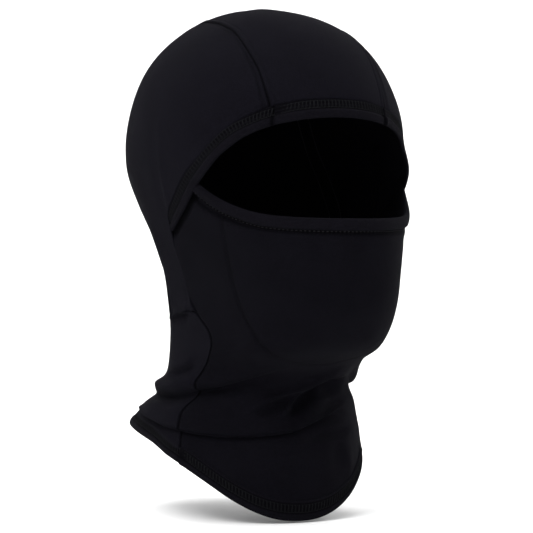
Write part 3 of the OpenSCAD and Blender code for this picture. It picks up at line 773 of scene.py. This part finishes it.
# the cloth rises to the level of the hood cloth at the seams
near = np.exp(-(d1 / 11) ** 2) + np.exp(-(d2 / 11) ** 2)
lift_f = near * (smooth(-G[..., 1], 13, 26) * (HI - 0.10) + smooth(-G[..., 1], 58, 70) * 0.10)
front = cloth("front_cloth", with_relief(pf, 0.0, ext + lift_f, nf), with_relief(pf, -CL, np.minimum(ext, 0) * 0.6 + lift_f, nf), M_FRONT)
ls_, lu_ = poly_dist(G[..., 0], G[..., 1], lining_line)
ms_, mu_ = poly_dist(G[..., 0], G[..., 1], both(mask_e))
# painted shade: darker cloth along the low side seams, along the lining stitch line and below the mask hem, and a
# painted shadow along the brow hem's lower edge
shade(front, 1.6 * (np.exp(-(d1 / 1.0) ** 2) + np.exp(-(d2 / 1.0) ** 2)) * low_g + 0.4 * np.exp(-(ls_ / 0.7) ** 2)
      + 0.8 * np.exp(-((np.abs(ms_) - 9.2) / 0.9) ** 2)
      + 1.5 * np.exp(-(poly_dist(G[..., 0], G[..., 1], both(brow_e))[0] / 2.0) ** 2))
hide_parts("mask_panel", "cheek_and_chin_panel", "neck_front_panel")

# ---------------------------------------------------------------- hems
def section_band(fn, width, prof, n, name, mat, wrap=False, lo=0.0, hi=1.0, steps=(), band=None):
    """Band swept along a line: fn(t, w) gives the place at share t and w mm up from the edge; prof is the closed cross section as (w, height)."""
    prof = np.asarray(prof, float)
    ts = np.linspace(lo, hi, n + 1)
    if wrap:
        ts = ts[:-1]
    rows, step_shade = [], []
    for w, hgt in prof:
        g = fn(ts, w)
        hh = np.full(len(ts), float(hgt))
        mk = np.zeros(len(ts))
        if steps and hgt > (HI + GAP) / 2:
            for aa_ in steps:
                x_ = (g[..., 0] - aa_ - 0.05 * w) * 1.1
                hh = hh + 0.95 * np.where(x_ > 0, np.exp(-np.abs(x_) / 3.5), -np.exp(-np.abs(x_) / 1.2)) * smooth(np.abs(x_), 0.0, 0.15)
                # painted shade: a dark mark on the low side of each step
                mk = mk + 1.3 * np.exp(-((x_ + 0.35) / 0.75) ** 2)
        rows.append(lay_at(g, hh))
        step_shade.append(mk)
    p = np.stack(rows, 1)          # n x k x 3
    nn, k = p.shape[:2]
    v = p.reshape(-1, 3)
    i, jx = np.meshgrid(np.arange(nn if wrap else nn - 1), np.arange(k), indexing="ij")
    i2, j2 = (i + 1) % nn, (jx + 1) % k
    f = np.stack([i * k + jx, i2 * k + jx, i2 * k + j2, i * k + j2], -1).reshape(-1, 4)
    f = turned(v, f)
    F = f.tolist()
    if not wrap:
        a0 = list(range(k))
        a1 = [(nn - 1) * k + x for x in range(k)]
        # caps wound against their neighbours
        e = (f[0][0], f[0][1])
        first = F[0]
        fwd = any(first[x] == 0 and first[(x + 1) % 4] == 1 for x in range(4))
        F.append(a0[::-1] if fwd else a0)
        F.append(a1 if fwd else a1[::-1])
    Lc = length_of(p[:, 0])
    pu = np.concatenate([[0], np.cumsum(np.linalg.norm(np.diff(prof, axis=0), axis=1))])
    uv = np.stack(np.broadcast_arrays(pu[None, :], Lc[:, None]), -1).reshape(-1, 2)
    ob = make(name, v, F, uv, mat)
    # painted shade on the outer face inside the given span, between the cover threads or in the groove below the mask
    # hem, added to the step marks
    if band:
        cut = band[2] if len(band) > 2 else prof[:, 1].mean() + 0.1
        sh = ((prof[:, 0] > band[0]) & (prof[:, 0] < band[1]) & (prof[:, 1] > cut)).astype(np.float32)
        at = ob.data.attributes.new("band", "FLOAT", "POINT")
        at.data.foreach_set("value", np.maximum(np.tile(sh, nn), np.stack(step_shade, 1).ravel()).astype(np.float32))
    return ob


def fold_profile(width, lo, hi, r=None, step=1.0, groove=(), drop=0.5):
    """Closed section of cloth folded double: flat outside with shallow needle grooves, round fold at the edge, tapered upper end."""
    th = (hi - lo) / 2
    mid = (hi + lo) / 2
    ang = np.linspace(90, -90, 9)
    pts = [(th - th * 1.0 * math.cos(math.radians(x)) * 1.0, mid + th * math.sin(math.radians(x))) for x in ang]
    xs = np.arange(th + step * 0.6, width - 0.4, step)
    top = []
    for x in xs:
        y = hi
        for gx in groove:
            y -= 0.28 * math.exp(-((x - gx) / 0.45) ** 2)
        y += 0.15 * math.exp(-((x - width * 0.25) / (width * 0.18)) ** 2)
        y -= drop * (3 * min(max((x - 4.2) / 2.0, 0), 1) ** 2 - 2 * min(max((x - 4.2) / 2.0, 0), 1) ** 3)
        top.append((x, y))
    bottom = [(x, lo) for x in xs]
    end = [(width + 0.5, hi - drop - 0.7), (width + 0.5, lo + 0.2)]
    return end + bottom[::-1] + pts[::-1] + top


def brow_fn(ts, w):
    a = cr(both(brow_e), ts)
    b = cr(both(brow_u), ts)
    return a + (b - a) * (w / 12.3)


def hemf(ts, w):
    a = -180 + 360 * ts
    return np.stack([a, hem_s(a) + w], -1)


BH = fold_profile(12.3, GAP, HI + 0.75, step=0.6, groove=(6.6, 8.7, 10.9), drop=0.95)
# painted shade over the cover-thread span of the brow hem
brow = section_band(brow_fn, 12.3, BH, 640, "brow_hem_cloth", M_HEM, steps=(-22.6, 18.6), band=(5.9, 11.8))
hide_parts("brow_hem")
HH = fold_profile(HEM, -CL + 0.1, HI + 0.7, step=0.6, groove=(5.6, 7.8, 10.2), drop=0.9)
# painted shade over the cover-thread span of the bottom hem
bottom = section_band(hemf, HEM, HH, 720, "bottom_hem_cloth", M_HEM, wrap=True, steps=(-74.5, 74.5), band=(4.9, 11.2))
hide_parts("bottom_hem")


def mask_fn(ts, w):
    a = cr(both(mask_e), ts)
    return np.stack([a[..., 0], a[..., 1] - w], -1)


mh = [(4.4 - 4.4 * math.cos(x), -0.65 + 2.3 * math.sin(x) ** 0.8) for x in np.linspace(0.0, math.pi * 0.68, 13)]
mh += [(7.2, 0.25), (7.5, -0.6), (7.8, -0.95), (8.3, -0.95), (8.6, -0.6), (9.0, -0.45), (9.4, -0.7), (9.5, -1.1), (8.6, -2.0), (6, -2.2), (3, -2.2), (1.2, -1.9), (0.3, -1.4)]
# painted shade in the groove below the mask hem's bulge
mask_hem = section_band(mask_fn, 9, mh, 260, "mask_hem_cloth", M_HEM, band=(7.4, 9.2, -1.0))
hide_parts("mask_hem")

# ---------------------------------------------------------------- lining and seam allowances
lin_e = np.array([[0, -18], [12, -18], [22, -17], [31, -14], [37.5, -10.5]], float)
lin_l = np.array([[0, -93], [8, -92], [17, -88], [27, -79], [32, -70], [35, -60], [37, -48], [38, -36],
                  [38.5, -24], [38.2, -16]], float)
w = np.linspace(-1, 1, 97)
tl, bl = cr(lin_e, np.abs(w)), cr(lin_l, np.abs(w))
jj = np.linspace(0, 1, 61)
g = tl[:, None] * (1 - jj)[None, :, None] + bl[:, None] * jj[None, :, None]
g[..., 0] *= np.sign(w)[:, None]
pl_ = P(g[..., 0], g[..., 1])
nl = N(g[..., 0], g[..., 1])
lining = cloth("lining_cloth", with_relief(pl_, -1.8, 0, nl), with_relief(pl_, -2.8, 0, nl), M_LINE)
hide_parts("mask_lining")

allow_s = np.array([[80.5, 40], [79.5, 26], [78.5, 10], [77.5, -4], [77, -15], [76, -36], [74, -54], [69, -65]], float)
allow = []
for side, nm in ((1, "left"), (-1, "right")):
    q = cr(allow_s, np.linspace(0, 1, 121))
    wd = np.linspace(0, 5.5, 7)
    g = q[:, None] + np.stack([np.broadcast_to(wd, (121, 7)), np.zeros((121, 7))], -1)
    if side < 0:
        g = flip(g)[:, ::-1]
    p, nn = P(g[..., 0], g[..., 1]), N(g[..., 0], g[..., 1])
    wav = 0.12 * np.sin(np.arange(121) * 0.9)[:, None]
    ob = cloth("side_seam_flap_" + nm, with_relief(p, -0.15, wav * 0, nn), with_relief(p, -1.0, wav, nn), M_HEM)
    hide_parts("side_seam_allowance_" + nm)
    allow.append(ob)
    s = np.linspace(0.02, 0.93, 260)
    g = np.stack([crown_g(side, s, np.full(s.shape, o)) for o in np.linspace(-4.2, 4.2, 9)], 1)
    if side < 0:
        g = g[:, ::-1]
    p, nn = P(g[..., 0], g[..., 1]), N(g[..., 0], g[..., 1])
    wav = 0.12 * np.sin(np.arange(260) * 0.8)[:, None]
    ob = cloth("crown_seam_flap_" + nm, with_relief(p, 0.1, 0 * wav, nn), with_relief(p, -0.9, wav, nn), M_HEM)
    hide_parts("crown_seam_allowance_" + nm)
    allow.append(ob)

# ---------------------------------------------------------------- threads
threads = []
for side, nm in ((1, "left"), (-1, "right")):
    rows, inner = [], []
    for o in (-3.7, 3.7):
        fn = lambda s, o=o, side=side: crown_g(side, s, np.full(np.shape(s), o))
        rows += dashes(fn, HI - 0.34, 2.6, 0.66, 0.25, 0.004, 0.82, 0.12)
    ss = np.linspace(0.03, 0.86, 420)
    for o in (-4.3, 4.3):
        gg = crown_g(side, ss, np.full(ss.shape, o) + 0.25 * np.sin(np.arange(420) * 2.1))
        inner.append((lay_at(gg, np.full(420, -1.05)), N(gg[:, 0], gg[:, 1])))
    fn = lambda s, side=side: crown_g(side, s, np.full(np.shape(s), -8.5))
    rows += dashes(fn, -0.10, 2.6, 0.6, -0.1, 0.03, 0.86, -0.12)
    ob = tubes("crown_topstitch_" + nm, rows, 0.20, M_SEW)
    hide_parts("crown_seam_stitching_" + nm)
    threads.append(ob)
    threads.append(tubes("crown_overlock_" + nm, inner, 0.2, M_IN))
    line = side_s[7:17] + np.array([3.4, 0])
    if side < 0:
        line = flip(line)
    ob = tubes("side_topstitch_" + nm, dashes(lambda s, line=line: cr(line, s), -0.08, 2.6, 0.7, -0.2, 0.06, 0.9, -0.1), 0.2, M_THREAD)
    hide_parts("side_seam_stitching_" + nm)
    threads.append(ob)


def coverstitch(name, fn, los, off, pitch, mat, lo=0.0, hi=1.0):
    """Needle rows with a looper thread zigzagging between them."""
    a, b, c = los
    mid = lambda s, w=b: fn(s, w)
    t_, Lg = even(mid, pitch, lo, hi)
    rows = []
    x = np.linspace(0, 1, 5)
    for w_ in (a, c):
        t3, _ = even(lambda s: fn(s, w_), 2.4, lo, hi)
        for p0, p1 in zip(t3[:-1], t3[1:]):
            q = p0 + (p1 - p0) * (0.14 + 0.72 * x)
            g = fn(q, w_)
            rows.append((lay_at(g, off + 0.1 + 0.1 * np.sin(math.pi * x) - 0.3 * (1 - np.sin(math.pi * x))), N(g[:, 0], g[:, 1])))
    # looper thread: a loop out and back per stitch
    k = len(t_) - 1
    ph = np.linspace(0, k, k * 8 + 1)[:-1]
    fr = ph - np.floor(ph)
    # two strands lie close together across the band, then a gap to the next pair
    tz = np.interp(np.floor(ph) + np.interp(fr, [0, 0.25, 0.5, 0.75, 1], [0.0, 0.13, 0.22, 0.35, 1.0]), np.arange(k + 1), t_)
    wz = np.interp(fr, [0, 0.25, 0.5, 0.75, 1], [a - 0.25, c, c + 0.25, a, a - 0.25])
    parts = np.stack([np.asarray(fn(np.array([s]), w_))[0] for s, w_ in zip(tz, wz)])
    hgt = off + 0.06 + 0.10 * np.cos(2 * math.pi * ph * 2)
    rows.append((lay_at(parts, hgt), N(parts[:, 0], parts[:, 1])))
    return tubes(name, rows, 0.14, mat)


cs1 = coverstitch("brow_cover_threads", brow_fn, (6.6, 8.7, 10.9), HI - 0.12, 2.35, M_THREAD, 0.004, 0.996)
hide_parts("brow_coverstitch")
cs2 = coverstitch("bottom_cover_threads", hemf, (5.6, 7.8, 10.2), HI - 0.10, 2.35, M_THREAD, 0.0, 0.9995)
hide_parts("bottom_coverstitch")
ms = tubes("mask_hem_threads", dashes(lambda s: mask_fn(s, 8.0), -0.30, 2.7, 0.36, 0.1, 0.03, 0.97, 0.2), 0.33, M_DOT)
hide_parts("mask_hem_stitching")
ls = tubes("lining_threads", dashes(lambda s: cr(lining_line, s), -0.40, 2.6, 0.6, 0.2, 0.0, 1.0, 0.1), 0.17, M_SEW)
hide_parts("lining_stitching")

# ---------------------------------------------------------------- bodies
for ob in [crown] + sides + [brow, bottom] + allow + threads + [cs1, cs2]:
    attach(ob, "hood")
for ob in (front, lining, ls):
    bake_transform(ob)
for ob in (mask_hem, ms):
    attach(ob, "mask")

# ---------------------------------------------------------------- stage, light, camera
AZ, EL = math.radians(-27), math.radians(0.5)
back = Vector((math.sin(AZ) * math.cos(EL), -math.cos(AZ) * math.cos(EL), math.sin(EL)))
rgt = Vector((math.cos(AZ), math.sin(AZ), 0))
upv = back.cross(rgt)
target = rgt * (3.5 * 0.635e-3) + upv * (-58.5 * 0.635e-3)
cam_data = bpy.data.cameras.new("camera")
cam = bpy.data.objects.new("camera", cam_data)
bpy.context.scene.collection.objects.link(cam)
cam.location = target + back * 1.5
cam.rotation_euler = (-back).to_track_quat("-Z", "Y").to_euler()
cam_data.lens = 36 * 1.5 / (533 * 0.635e-3)
cam_data.sensor_width = 36
cam_data.clip_start = 0.05
bpy.context.scene.camera = cam

FLOOR = -0.1948
sw = []
prof = [(-2.6, 0), (1.2, 0)] + [(1.2 + 0.9 * math.sin(x), 0.9 - 0.9 * math.cos(x)) for x in np.linspace(0.1, math.pi / 2, 12)] + [(2.1, 3.2)]
vv, ff = [], []
for k_, (d_, hh_) in enumerate(prof):
    for s_ in (-3.2, 3.2):
        p_ = -back.copy()
        p_.z = 0
        p_.normalize()
        q_ = p_ * d_ + rgt * s_
        vv.append((q_.x * 1000, q_.y * 1000, (FLOOR + hh_) * 1000))
for k_ in range(len(prof) - 1):
    ff.append((2 * k_, 2 * k_ + 1, 2 * k_ + 3, 2 * k_ + 2))
pm = bpy.data.materials.new("pale_floor")
pm.use_nodes = True
pb = pm.node_tree.nodes["Principled BSDF"]
pb.inputs["Base Color"].default_value = (0.93, 0.93, 0.93, 1)
pb.inputs["Roughness"].default_value = 0.95
pb.inputs["Specular IOR Level"].default_value = 0.1
floor = make("floor", vv, ff, None, pm)

world = bpy.data.worlds.new("world")
world.use_nodes = True
bg = world.node_tree.nodes["Background"]
bg.inputs[0].default_value = (1, 1, 1, 1)
bg.inputs[1].default_value = 0.85
bpy.context.scene.view_settings.view_transform = "Standard"
bpy.context.scene.world = world


def area(name, loc, size, power, look=(0, 0, -0.03)):
    ld = bpy.data.lights.new(name, "AREA")
    ld.shape = "RECTANGLE"
    ld.size, ld.size_y = size
    ld.energy = power
    ob = bpy.data.objects.new(name, ld)
    bpy.context.scene.collection.objects.link(ob)
    ob.location = loc
    ob.rotation_euler = (Vector(look) - Vector(loc)).to_track_quat("-Z", "Y").to_euler()
    return ob


area("key", (-1.3, -1.0, 1.5), (1.0, 1.0), 34)
area("rim", (1.7, 0.3, 0.7), (0.8, 1.4), 12)
area("top", (0.0, 0.5, 2.2), (2.2, 2.2), 40)
